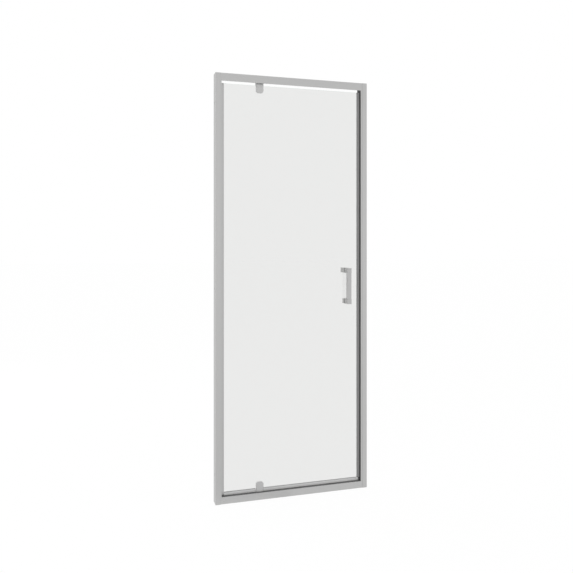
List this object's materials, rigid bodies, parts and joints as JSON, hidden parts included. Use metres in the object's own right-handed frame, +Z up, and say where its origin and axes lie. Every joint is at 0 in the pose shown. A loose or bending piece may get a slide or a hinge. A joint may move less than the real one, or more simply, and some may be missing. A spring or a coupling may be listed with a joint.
{
  "type": "pivot shower door",
  "caption": "Framed shower door: a clear glass leaf that turns on pivots set in from one side, inside a satin silver frame with adjustable wall channels, magnetic seal and bow handle.",
  "frame": {"origin": "middle of the threshold's underside, where it sits on the tray", "axes": "+Z up, -Y towards the bathroom and the handle, +X towards the closing side"},
  "size_m": [0.7, 0.088, 1.85],
  "materials": {
    "frame_silver": "satin anodised",
    "leaf_silver": "satin anodised",
    "block_aluminium": "plain mill finish",
    "clamp_satin": "satin plated",
    "handle_satin": "satin plated",
    "clear_glass": "clear, polished edges",
    "screw_steel": "stainless",
    "pin_steel": "stainless, ground",
    "black_strip": "matt black",
    "grey_seal": "soft translucent grey",
    "gasket_rubber": "matt grey",
    "magnet": "bonded magnet strip",
    "cap_plastic": "grey moulded",
    "bush_plastic": "off-white moulded",
    "washer_plastic": "clear moulded"
  },
  "bodies": {
    "frame": {"hinge_wall_channel": "frame_silver", "closing_wall_channel": "frame_silver", "hinge_post": "frame_silver", "closing_post": "frame_silver", "head_rail": "frame_silver", "threshold": "frame_silver", "threshold_strip": "black_strip", "closing_strip": "black_strip", "closing_magnet": "magnet", "corner_screws": "screw_steel", "post_screws": "screw_steel", "screw_caps": "cap_plastic", "hinge_post_cap": "cap_plastic", "closing_post_cap": "cap_plastic", "hinge_channel_cap": "cap_plastic", "closing_channel_cap": "cap_plastic", "upper_pivot_block": "block_aluminium", "lower_pivot_block": "block_aluminium", "pivot_block_screws": "screw_steel", "upper_pivot_bush": "bush_plastic", "lower_pivot_bush": "bush_plastic"},
    "door_leaf": {"glass_pane": "clear_glass", "upper_clamp": "clamp_satin", "lower_clamp": "clamp_satin", "upper_clamp_plate": "clamp_satin", "lower_clamp_plate": "clamp_satin", "upper_clamp_gaskets": "gasket_rubber", "lower_clamp_gaskets": "gasket_rubber", "clamp_screws": "screw_steel", "upper_pivot_pin": "pin_steel", "lower_pivot_pin": "pin_steel", "hinge_side_profile": "leaf_silver", "hinge_side_seal": "grey_seal", "bottom_profile_short": "leaf_silver", "bottom_profile_long": "leaf_silver", "drip_seal_short": "grey_seal", "drip_seal_long": "grey_seal", "magnetic_seal": "grey_seal", "leaf_magnet": "magnet", "handle_bar": "handle_satin", "handle_posts": "handle_satin", "handle_studs": "screw_steel", "handle_washers": "washer_plastic", "handle_sleeves": "washer_plastic", "inner_knob": "handle_satin", "inner_cap": "handle_satin"}
  },
  "joints": [
    {"name": "leaf_pivot", "type": "hinge", "parent": "frame", "child": "door_leaf", "pos_m": [-0.152, 0, 0.0305], "axis": [0, 0, -1], "range_deg": [0, 90]}
  ]
}
